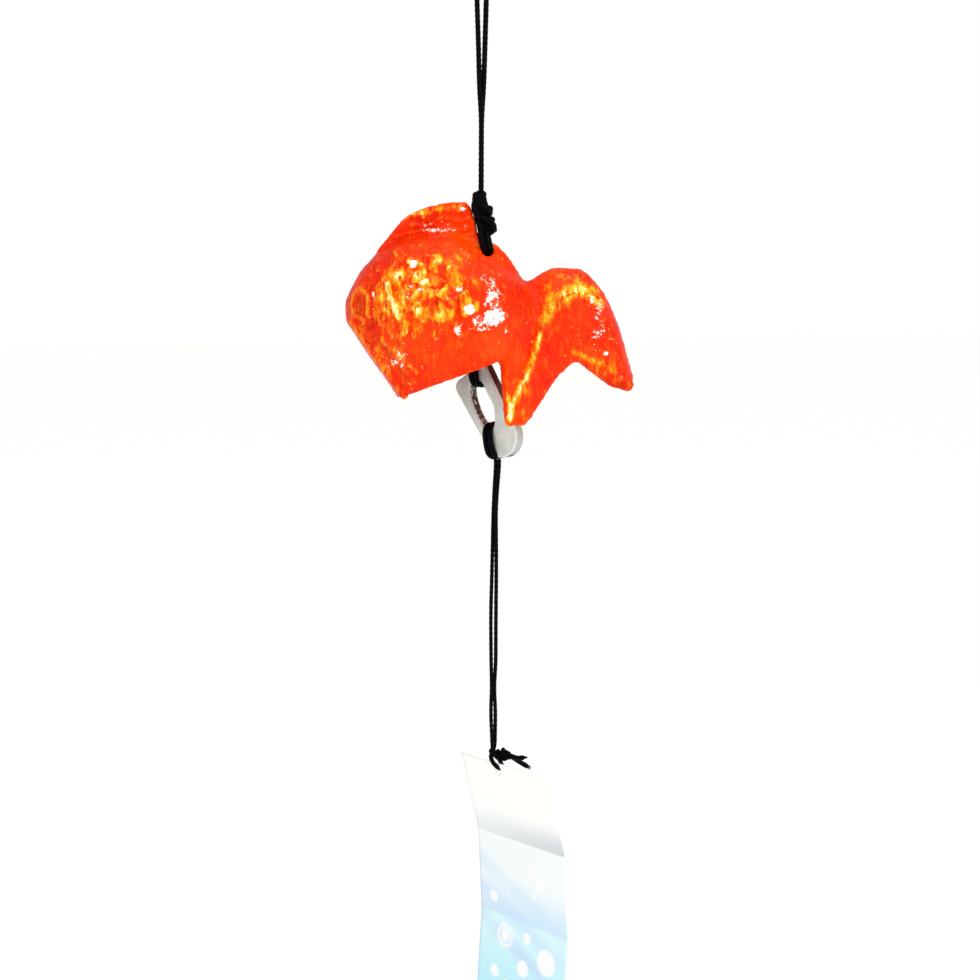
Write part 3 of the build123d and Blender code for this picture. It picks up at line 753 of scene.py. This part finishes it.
# Where the lacquer is thin, and where painted glints go: middle, two radii and strength
WASHED = (
    (-19, -11, 13, 12, 1), (-27, -15, 8, 13, 0.9), (-29, -28, 7, 9, 0.8),
    (-10, -4, 8, 4, 0.7), (-33, -17, 8, 9, 0.8), (-10, -22, 10, 6, 0.5),
    (22, -12, 9, 5, 0.9), (-20, 11, 9, 2.2, 0.8), (8, -40, 4, 9, 0.8),
    (33, -34, 6, 4, 0.7))
PAINTED_GLINT_PLACES = (
    (1, -13, 3.6, 10, 0.72), (-2, -19.5, 8, 3, 0.72), (29.5, -19, 4, 11, 0.68),
    (-19, -9, 10, 9, 0.56), (-25, -29.5, 6, 5, 0.6), (-16, 7, 10, 5, 0.56),
    (-1.3, -7.9, 2.6, 2.2, 0.7), (0.5, -13.6, 2.2, 2.7, 0.8), (1.5, -18.3, 4.2, 3.2, 1),
    (4.2, -22.3, 2.2, 2.2, 0.6), (-2.4, -21.4, 5, 0.9, 0.8), (-13.1, 5.9, 7.6, 0.9, 0.8),
    (-6.6, 11.6, 1.2, 1, 0.9), (-6.1, 6.8, 0.6, 2.4, 0.7), (28.6, -14.5, 2.6, 4.5, 0.7),
    (31, -16, 1.8, 3.6, 0.7), (29.7, -24.1, 2.6, 2.4, 0.5), (32, -28.6, 0.9, 0.9, 0.9),
    (-5.2, -16.2, 2.1, 2, 1), (-7.7, -10.4, 1.7, 1.3, 0.8), (-20.2, -3.4, 1.5, 1.5, 0.9),
    (-13.2, -5.4, 1.2, 2.6, 0.7), (-16, -11.2, 2, 2, 0.7), (-11, -12.6, 2.2, 2.2, 0.6),
    (-8.2, -21.6, 1.5, 2.4, 0.8), (-31.4, -11.5, 0.5, 1.4, 0.8), (-27.6, -25.3, 2, 0.8, 0.6),
    (-12, -18.5, 1.6, 2.4, 0.4))
PLAIN_EYE = (-35.3, -14.1, 4.5, 5.5)
PLAIN_CHEEK = (-29, -30, 10, 12)
TAIL_START = 4.5


def strokes(x, z, lines):
    return sum(strength * stroke(x, z, points, width) for points, width, strength in lines)


def strongest(x, z, places):
    return np.max([strength * zone(x, z, *place) for *place, strength in places], axis=0)


def wear_of(x, z, proud, raised):
    """How far the lacquer is rubbed away, most where the surface stands proud."""
    wear = 0.75 * smooth(0.06, 0.35, proud) + 0.5 * smooth(0.35, 1, raised)
    wear = wear + np.where(x > TAIL_START, strokes(x, z, TAIL_RUBBED), strokes(x, z, BODY_RUBBED))
    wear = wear * (1 - 0.75 * zone(x, z, *PLAIN_EYE)) * (1 - 0.5 * zone(x, z, *PLAIN_CHEEK))
    return wear + 0.27 * np.exp(-((from_eye(x, z) - 1) / 0.17) ** 2)


def is_inside(verts, normal):
    """True on the inner face of the bell's wall."""
    x, y, z = verts.T
    within = (np.hypot((x + 14) / 27, y / 17) < 1) & (x < 12) & (z < 1)
    return within & (((verts - (-14, 0, -16)) * normal).sum(1) < 0)


def fish():
    verts, quads = surface_net(fish_field())
    verts = relax(verts, quads, 3)
    normal = vertex_normals(verts, quads)
    proud = ((verts - relax(verts, quads, 14)) * normal).sum(1)
    x, y, z = verts.T
    raised = relief(x, z) * smooth(3, 8, np.abs(y)) * (x < 4)
    inner = is_inside(verts, normal)
    # Painted shade lies in the hollows, where the surface sits below its smoothed self, and along the shade
    # lines; painted glints go at the glint places.
    paint = {
        "wear": wear_of(x, z, proud, raised),
        "painted_shade": smooth(0.06, 0.35, -proud) + strokes(x, z, PAINTED_SHADE_LINES),
        "painted_glint": strongest(x, z, PAINTED_GLINT_PLACES),
        "wash": strongest(x, z, WASHED)}
    made = mesh_object("fish_casting", verts + (0, 0, HOLE_LEVEL), quads, "bell", "bell", "fish_bell")
    # Inside the bell there is no rubbing, wash or painted glint, and the painted shade is at 0.6 all over.
    for name, values in paint.items():
        values = np.where(inner, 0.6 if name == "painted_shade" else 0, np.clip(values, 0, 1))
        layer = made.data.attributes.new(name, "FLOAT", "POINT")
        layer.data.foreach_set("value", values.astype(np.float32))
    made.data.materials.append(lacquer_material())


# Cords and knots, as in the part. A route holds the middle of two strands and their offsets
BLACK = cord_material()
HOOK_HALF = 2.65
HANGING_ROUTE = (
    (-1.55, 0, 0.85, 97.3), (-1.15, 0, 0.85, 77), (-1, 0.61, 0.61, 68), (-0.8, 0.85, 0, 59))
STREAMER_ROUTE = (
    (0.95, -1.15, -72, 0.35, -0.56), (0.65, -0.85, -88, 0.6, -0.27), (0.15, -0.6, -103, 0.74, 0),
    (0, -0.3, -117, 0.66, 0.1), (-0.25, -0.1, -124, 0.35, 0.56), (-0.3, 0, -131, 0.68, 0),
    (-0.32, 0.15, -141, 0.4, 0.52))
# Turns of the hanging knot: a share of the way down, how far aside, the radius and two tilts
KNOT_TURNS = (
    (0.08, -0.1, 1.15, 15, -34), (0.22, -0.5, 1.75, -18, 32), (0.34, -0.2, 2.15, 14, 24),
    (0.46, 0.1, 1.95, -20, -24), (0.58, -0.3, 1.9, 16, 34), (0.7, 0.2, 1.75, -14, -14),
    (0.83, 0.45, 1.95, 12, 28), (0.94, 0.1, 1.45, -8, -16))
KNOT_LUMPS = (((-0.1, -0.7, 10.7), 0.8, 20, 1), ((0.5, -0.7, 6.5), 1.15, -15, 1.1))
KNOT_TOP_STRAND = ((-1.2, -1, 12.4), (-2.7, -1.9, 14.2), (-3, -1.5, 15.5))
KNOT_STRANDS = (
    (((-2.6, -1.2, 9), (-2, -1.9, 7), (-1.5, -1.8, 4.6)), 0.95),
    (((-1.6, -1.6, 12.4), (-0.2, -2.3, 11.6), (0.6, -1.6, 10.4), (0.2, -0.2, 9.4)), 0.95),
    (((-1.6, -1.6, 9.4), (0.4, -2.3, 8.2), (1.5, -1.4, 6.4), (0.8, 0, 5.2)), 1),
    (((-2.9, -0.6, 14.4), (-3.6, -1.6, 12.4), (-2.6, -1.9, 9.2)), 0.95))


def corded(name, tubes, body, *replaced):
    made = mesh_object(name, *joined(tubes), body, "cord", *replaced)
    made.data.materials.append(BLACK)
    return made


def hanging_line():
    """The doubled cord, up from the knot, over the hook and down again."""
    up = [(x + dx, dy, -z) for x, dx, dy, z in HANGING_ROUTE]
    down = [(x - dx, -dy, -z) for x, dx, dy, z in HANGING_ROUTE]
    return dense(rounded(up + [(HOOK_HALF, 0, CORD), (-HOOK_HALF, 0, CORD)] + down[::-1]), 0.3)


def knot_place(share):
    return at_hole(-1.8 + 2 * share, 0, 16 - 11.1 * share)


def hanging_knot():
    pieces = [strand([knot_place(share) for share in (0.02, 0.5, 0.98)], 1.5, 0)]
    for share, aside, radius, tilt_x, tilt_y in KNOT_TURNS:
        pieces.append(turn(knot_place(share) + (aside, 0, 0), radius, tilt_x, tilt_y, 0.8, 0.85))
    pieces.append(strand([at_hole(*p) for p in KNOT_TOP_STRAND], 1))
    for place, radius, tilt, cord in KNOT_LUMPS:
        pieces.append(turn(at_hole(*place), radius, 90, tilt, cord))
    for points, radius in KNOT_STRANDS:
        pieces.append(strand([at_hole(*p) for p in points], radius))
    return corded("hanging_knot_turns", pieces, "suspension", "hanging_knot")


def four_strands(points, radius):
    """A pair of strands on each side of the crest. A point starts with a share of their spacing."""
    return [strand([at_hole(share * aside + x, sign * y, z) for share, x, y, z in points], radius, step=0.4)
            for sign in (-1, 1) for aside in (-ASIDE, ASIDE)]


def saddle():
    """The strands beside the crest, from the knot into the cord hole."""
    points = ((1, -1, 2.2, 4.7), (1, -0.5, 4.95, 2.1), (0.8, 0, 4.1, 0), (0.8, 0, 3.1, 0))
    return corded("saddle_strands", four_strands(points, 0.98), "suspension", "saddle_cord")


def inner_knot():
    """The clapper cord's loop in the cord hole, and its knot."""
    pieces = [turn(at_hole(0, 0, -5.2), 1.15, 14, 10, 0.72), turn(at_hole(0, 0, -6.1), 1.15, -12, -8, 0.72),
              strand([at_hole(0, 0, -4.2), at_hole(0, 0, -7)], 1.2)]
    pieces += four_strands(((0.8, 0, 2.9, 0), (0.8, 0, 0.95, 0), (0.9, 0, 0.85, -5)), CORD)
    return corded("inner_knot_turns", pieces, "bell_loop", "inner_knot")


# The clapper's plane and the places where cord goes round it, as in the part
YAW, TILT = radians(40), radians(31)
LEVEL = np.array((cos(YAW), -sin(YAW), 0))
ACROSS = LEVEL * cos(TILT) + np.array((0, 0, sin(TILT)))
ALONG = np.array((0, 0, cos(TILT))) - LEVEL * sin(TILT)
FACING = np.array((-sin(YAW), -cos(YAW), 0))
PLUMB = np.array((sin(TILT), cos(TILT)))
CLAPPER_PLACE = at_hole(0.3, -0.1, -45.6)
CLAPPER_HALF = 1.75
HITCH_CLEAR = 0.25
TOP_INSIDE = np.array((1, 9))
TOP_LEVEL = 13.5 + CORD + 0.2 + ASIDE * PLUMB[0]
TOP_OUTSIDE = np.array((TOP_INSIDE[0] + (TOP_LEVEL - TOP_INSIDE[1]) * tan(TILT), TOP_LEVEL))
LOW_INSIDE = np.array((-1, -2.8))
LOW_OUTSIDE = np.array((-4.3, -11.2))
STREAMER_START = np.array((-4.7, -11.95)) - PLUMB * 1.85
CLAPPER_PIVOT = TOP_OUTSIDE + PLUMB * 2.25


def on_clapper(a, b, n=0):
    """The place a across, b along and n in front of the clapper's middle."""
    return CLAPPER_PLACE + ACROSS * a + ALONG * b + FACING * n


def clapper_cord():
    start, end = at_hole(0, 0, -5.6), on_clapper(*CLAPPER_PIVOT)
    strands = []
    for sign in (-1, 1):
        top = start + unit(end - start) * 2.1 + np.array((sign * ASIDE, 0, 0))
        strands.append(strand([top, end + LEVEL * sign * ASIDE]))
    return corded("clapper_cord_strands", strands, "clapper_line", "clapper_cord")


def looped(points, rounds=3):
    """A smooth closed line that follows these corners."""
    for _ in range(rounds):
        ahead = np.roll(points, -1, 0)
        points = np.stack([0.75 * points + 0.25 * ahead, 0.25 * points + 0.75 * ahead], 1).reshape(-1, 3)
    return points


def hitch(inside, outside, cord):
    """Two turns of cord round a bar of the clapper."""
    way = unit(outside - inside)
    side = np.array((-way[1], way[0])) * (cord + 0.1)
    lift = CLAPPER_HALF + HITCH_CLEAR + cord
    turns = []
    for sign in (-1, 1):
        a, b = inside + side * sign, outside + side * sign
        corners = ((a, 0.8), ((a + b) / 2, 1.15), (b, 0.9), (b, -0.9), ((a + b) / 2, -1.15), (a, -0.8))
        path = looped(np.array([on_clapper(*place, lift * share) for place, share in corners]))
        turns.append(tube(path, cord * 1.04, closed=True))
    return turns


def streamer_line(sign):
    """One strand from the clapper's lower bar down to the strip's knot."""
    start = on_clapper(*STREAMER_START) + LEVEL * sign * 0.65
    points = [start + (0, 0, 1.6), start]
    points += [at_hole(x + sign * dx, y + sign * dy, z) for x, y, z, dx, dy in STREAMER_ROUTE]
    points.append(at_hole(-0.45, 0.15 + sign * 0.2, -143))
    return dense(rounded(points), 0.3)


# The strip's turn, its knot and its pivot, as in the part
FOLD = radians(50)
WIDTH_WAY = np.array((cos(FOLD), -sin(FOLD), 0))
OUT_WAY = np.array((sin(FOLD), cos(FOLD), 0))
UPWARD = np.array((0, 0, 1))
STRIP_KNOT = at_hole(-0.32, 0.15, -141 - 0.2 - 1.8)
HOLE_DOWN = 2.2
STRIP_PIVOT = STRIP_KNOT + WIDTH_WAY * 1.8 - UPWARD * (2 * HOLE_DOWN - 0.1)
TIE_CORD = THIN_CORD * 1.15
TIE_TURNS = (
    (0.8, -0.9, 0.8, 20, 60), (1.9, -0.5, 1.05, -25, 50), (3, -0.4, 1.15, 15, 75),
    (4, -0.8, 0.95, -20, 62), (1.9, -1.2, 0.8, 70, 10), (3.1, -1.2, 0.85, 60, -20))
TIE_CORE = ((-0.4, 0, 0.4), (-0.2, 0, -0.5), (1.6, -0.2, -0.8), (4.2, -0.2, -0.8))
TIE_ENDS = (
    ((3.6, -0.2, -0.7), (5.4, -0.9, -1.1), (6.8, -1.3, -1.6), (8.4, -1.6, -1.4)),
    ((3.6, -0.2, -0.7), (5.6, 0.3, -1.9), (7.4, 0.7, -3.2), (9.4, 1, -4.5)))
FRAY_HAIRS = 9


def frayed_end(points):
    """A cut end of cord that opens into a few hairs."""
    path = dense(rounded([STRIP_KNOT + p for p in points]), 0.4)
    pieces = [tube(path, np.linspace(0.62, 0.72, len(path)))]
    way = unit(path[-1] - path[-4])
    for _ in range(FRAY_HAIRS):
        tip = path[-1] + unit(way + 0.35 * rng.standard_normal(3)) * rng.uniform(0.7, 1.5)
        bend = (path[-2] + tip) / 2 + 0.05 * rng.standard_normal(3)
        pieces.append(tube(np.array([path[-2], bend, tip]), 0.13, sides=6))
    return pieces


def strip_knot():
    """The loop through the paper, the knot and its frayed ends."""
    t = np.linspace(0, 2 * pi, 33)[:-1]
    loop = np.outer(np.cos(t), (-1.2, 0, 2.1)) + 1.3 * np.outer(np.sin(t), OUT_WAY)
    pieces = [tube(STRIP_PIVOT + (-0.4, 0, 1.9) + loop, TIE_CORD, closed=True)]
    for x, z, radius, tilt_x, tilt_y in TIE_TURNS:
        pieces.append(turn(STRIP_KNOT + (x, -0.3, z), radius, tilt_x, tilt_y, TIE_CORD))
    pieces.append(strand([STRIP_KNOT + p for p in TIE_CORE], 1.05, 0))
    for points in TIE_ENDS:
        pieces += frayed_end(points)
    return corded("strip_knot_turns", pieces, "strip_tie", "strip_knot")


# The paper strip: six panels that lean in turn, with a hole near the top
PITCH = 24.5
WIDTH = 38
LEANS = (14, 2, -5.4, -18, -12, -5)
REST = 0.75
HOLE_ASIDE = 3
HOLE_RADIUS = 1.3
LEFT_OUT = 0.8
SHEET_HALF = 0.1


def strip_profile():
    """The strip seen from its edge, its creases slightly rounded."""
    line = [np.zeros(2)]
    for lean in LEANS:
        lean = radians(lean)
        line.append(line[-1] + PITCH * np.array((sin(lean), -cos(lean))))
    line = np.array(line)
    line[:, 0] -= unit(line[1])[0] * (HOLE_DOWN - REST)
    return rounded(line, 0.05, 5)


def strip_surface():
    """The middle surface: points, normals, places on the flat strip and faces."""
    profile = strip_profile()
    s = np.concatenate([[0], np.cumsum(norm(np.diff(profile, axis=0), axis=1))])
    rows = np.unique(np.concatenate([np.linspace(0, 6, 13), np.linspace(6, s[-1], 170), s]))
    whole = np.linspace(-WIDTH / 2, WIDTH / 2, 39) + HOLE_ASIDE
    cols = np.unique(np.concatenate([whole, np.linspace(-3, 3, 13)]))
    slope_out, slope_up = (np.gradient(np.interp(rows, s, profile[:, k]), rows) for k in (0, 1))
    normals = np.outer(slope_out, UPWARD) - np.outer(slope_up, OUT_WAY)
    down, across = np.meshgrid(rows, cols, indexing="ij")
    # points inside the hole move out to its edge, and the innermost are left out
    away = np.maximum(np.hypot(across, down - HOLE_DOWN), 1e-6)
    kept = away > LEFT_OUT
    grow = np.maximum(1, HOLE_RADIUS / away)
    across, down = across * grow, HOLE_DOWN + (down - HOLE_DOWN) * grow
    out, up = (np.interp(down, s, profile[:, k]) for k in (0, 1))
    verts = STRIP_PIVOT + UPWARD * (HOLE_DOWN - REST) + sum(
        size[:, :, None] * way for size, way in ((out, OUT_WAY), (up, UPWARD), (across, WIDTH_WAY)))
    flat = np.stack([(across - HOLE_ASIDE) / WIDTH + 0.5, down / s[-1]], 2)
    number = np.where(kept, np.cumsum(kept).reshape(kept.shape) - 1, -1)
    faces = quads_of(number[:, :-1], number[:, 1:])
    normals = np.repeat(normals[:, None], len(cols), 1)
    return verts[kept], normals[kept], flat[kept], faces[(faces >= 0).all(1)]


def strip():
    """The folded strip as one thin closed sheet with a hole."""
    verts, normals, flat, faces = strip_surface()
    n = len(verts)
    both = np.concatenate([verts + normals * SHEET_HALF, verts - normals * SHEET_HALF])
    edges = {(a, b): True for f in faces.tolist() for a, b in zip(f, f[1:] + f[:1])}
    border = [(b, a, a + n, b + n) for a, b in edges if (b, a) not in edges]
    sides = faces.tolist() + (faces[:, ::-1] + n).tolist()
    made = mesh_object("wind_strip", both, sides + border, "strip", "strip", "paper_strip")
    corners = np.zeros(len(made.data.loops), int)
    made.data.loops.foreach_get("vertex_index", corners)
    layer = made.data.uv_layers.new(name="strip")
    layer.data.foreach_set("uv", np.concatenate([flat, flat])[corners].ravel())
    made.data.materials.append(paper_material())
    return made


# The clapper keeps the part's own shape. Its faces, walls and bevels are coloured by the way they face, which
# paints highlight and shade
FACE, SHADED_WALL, SLOT_SHADE_AND_GLINTS, BEVEL_HIGHLIGHT, SHADED_FOOT = range(5)
# Lighter bevels are a painted highlight, the dark outer walls painted shade and reflection, and the darker
# foot sides painted shade; the slot's dark walls are partly bare casting and partly painted shade, with
# painted glints
CLAPPER_LOOKS_BY_FACING = (
    ("clapper_face", (0.53, 0.57, 0.53), (0.7, 0.75, 0.7), 0.5, 0.3),
    ("clapper_rim", (0.025, 0.018, 0.016), (0.09, 0.07, 0.06), 0.4, 0.35),
    ("clapper_slot", (0.03, 0.03, 0.03), (0.16, 0.155, 0.15), 0.4, 0.35, 0.85),
    ("clapper_bevel", (0.6, 0.61, 0.58), (0.8, 0.8, 0.77), 0.35, 0.5),
    ("clapper_foot", (0.36, 0.39, 0.36), (0.48, 0.51, 0.48), 0.5, 0.3))
SLOT_MIDDLE = (0.2, 3.4)
FOOT_TOP = -6.5
FOOT_START = 1


def look_by_facing(centre, normal):
    """The look of a face of the clapper, from its place and the way it faces, which gives its painted
    highlight and shade.
    """
    place = centre - on_clapper(0, 0)
    front = abs(normal @ FACING)
    foot = place @ ALONG < FOOT_TOP and place @ ACROSS > FOOT_START
    if front > 0.9 or foot and front > 0.35:
        return FACE
    if front > 0.35:
        return BEVEL_HIGHLIGHT
    if normal @ (on_clapper(*SLOT_MIDDLE) - centre) > 0:
        return SLOT_SHADE_AND_GLINTS
    return SHADED_FOOT if foot else SHADED_WALL


def paint_clapper(plate):
    plate.data.materials.clear()
    for facing_look in CLAPPER_LOOKS_BY_FACING:
        plate.data.materials.append(metal_material(*facing_look))
    turned = plate.matrix_world.to_3x3()
    for polygon in plate.data.polygons:
        centre = np.array(plate.matrix_world @ polygon.center) / MM
        normal = np.array((turned @ polygon.normal).normalized())
        polygon.material_index = look_by_facing(centre, normal)


fish()
hanging_route = hanging_line()
hanging = corded("hanging_cord_braid", [tube(hanging_route, braid=BRAID)], "hanger", "hanging_cord")
knot = hanging_knot()
saddle_strands = saddle()
inner_knot()
clapper_cord()
corded("clapper_top_turns", hitch(TOP_INSIDE, TOP_OUTSIDE, CORD), "clapper", "clapper_top_hitch")
corded("clapper_bottom_turns", hitch(LOW_INSIDE, LOW_OUTSIDE, 0.78), "clapper", "clapper_bottom_hitch")
for name, sign in (("near", -1), ("far", 1)):
    route = streamer_line(sign)
    piece = corded("streamer_strand_" + name, [tube(route, THIN_CORD, braid=BRAID)], "streamer")
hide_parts("streamer_cord")
strip_tie = strip_knot()
paper = strip()
paint_clapper(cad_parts["clapper"])

# Camera, with its focal length in pixels of the picture
PICTURE_WIDTH = 980
FOCAL_PIXELS = 1775
CAMERA_PLACE = (-0.00027, -0.5, -0.1271)
CAMERA_PITCH = radians(90 - 6.11)
CAMERA_ROLL = radians(-0.83)
FLOOR_LEVEL = -0.45
FLOOR_GLOW = 0.12
ROOM_LIGHT = (0.45, 0.4455, 0.441, 1)


def add_camera():
    data = bpy.data.cameras.new("camera")
    data.sensor_width = 36
    data.lens = data.sensor_width * FOCAL_PIXELS / PICTURE_WIDTH
    data.clip_start = 0.01
    made = linked("camera", data)
    made.matrix_world = (Matrix.Translation(Vector(CAMERA_PLACE))
                         @ Matrix.Rotation(CAMERA_PITCH, 4, "X")
                         @ Matrix.Rotation(CAMERA_ROLL, 4, "Z"))
    bpy.context.scene.camera = made
    return made


def lamp(name, kind, power, turn):
    data = bpy.data.lights.new(name, kind)
    data.energy = power
    made = linked(name, data)
    made.rotation_euler = turn
    return made


def area(name, place, width, height, power):
    """A soft lamp that looks at the middle of the bell and its strip."""
    way = Vector((0, 0, -0.16)) - Vector(place)
    made = lamp(name, "AREA", power, way.to_track_quat("-Z", "Y").to_euler())
    made.data.shape = "RECTANGLE"
    made.data.size = width
    made.data.size_y = height
    made.location = place
    return made


def add_lights():
    sun = lamp("overhead", "SUN", 1.55, (radians(12), radians(8), 0))
    sun.data.angle = radians(35)
    return [area("key", place=(0.62, -0.47, -0.05), width=0.018, height=0.35, power=2.3),
            area("fill", place=(-0.5, -0.8, 0.15), width=0.7, height=0.7, power=2.9), sun]


def add_floor():
    """A pale floor that looks a little brighter to the camera."""
    mesh = bpy.data.meshes.new("floor")
    mesh.from_pydata([(-9, -3, 0), (9, -3, 0), (9, 14, 0), (-9, 14, 0)], [], [(0, 1, 2, 3)])
    made = linked("floor", mesh)
    made.location = (0, 0, FLOOR_LEVEL)
    look = Look("floor_paper", 1, 0)
    look.set("Base Color", (0.95, 0.945, 0.93))
    seen = look.node("LightPath").outputs["Is Camera Ray"]
    look.set("Emission Color", (1, 1, 1))
    look.set("Emission Strength", look.times(seen, FLOOR_GLOW))
    mesh.materials.append(look.material)
    return made


def add_room():
    """Soft light from all round, behind a white background."""
    world = bpy.data.worlds.new("studio")
    bpy.context.scene.world = world
    world.use_nodes = True
    nodes, links = world.node_tree.nodes, world.node_tree.links
    tint = nodes.new("ShaderNodeMix")
    tint.data_type = "RGBA"
    tint.inputs[6].default_value = ROOM_LIGHT
    tint.inputs[7].default_value = (1, 1, 1, 1)
    seen = nodes.new("ShaderNodeLightPath").outputs["Is Camera Ray"]
    links.new(seen, tint.inputs[0])
    links.new(tint.outputs[2], nodes["Background"].inputs["Color"])


add_room()
add_camera()
add_floor()
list(add_lights())
bpy.context.scene.view_settings.view_transform = "Standard"
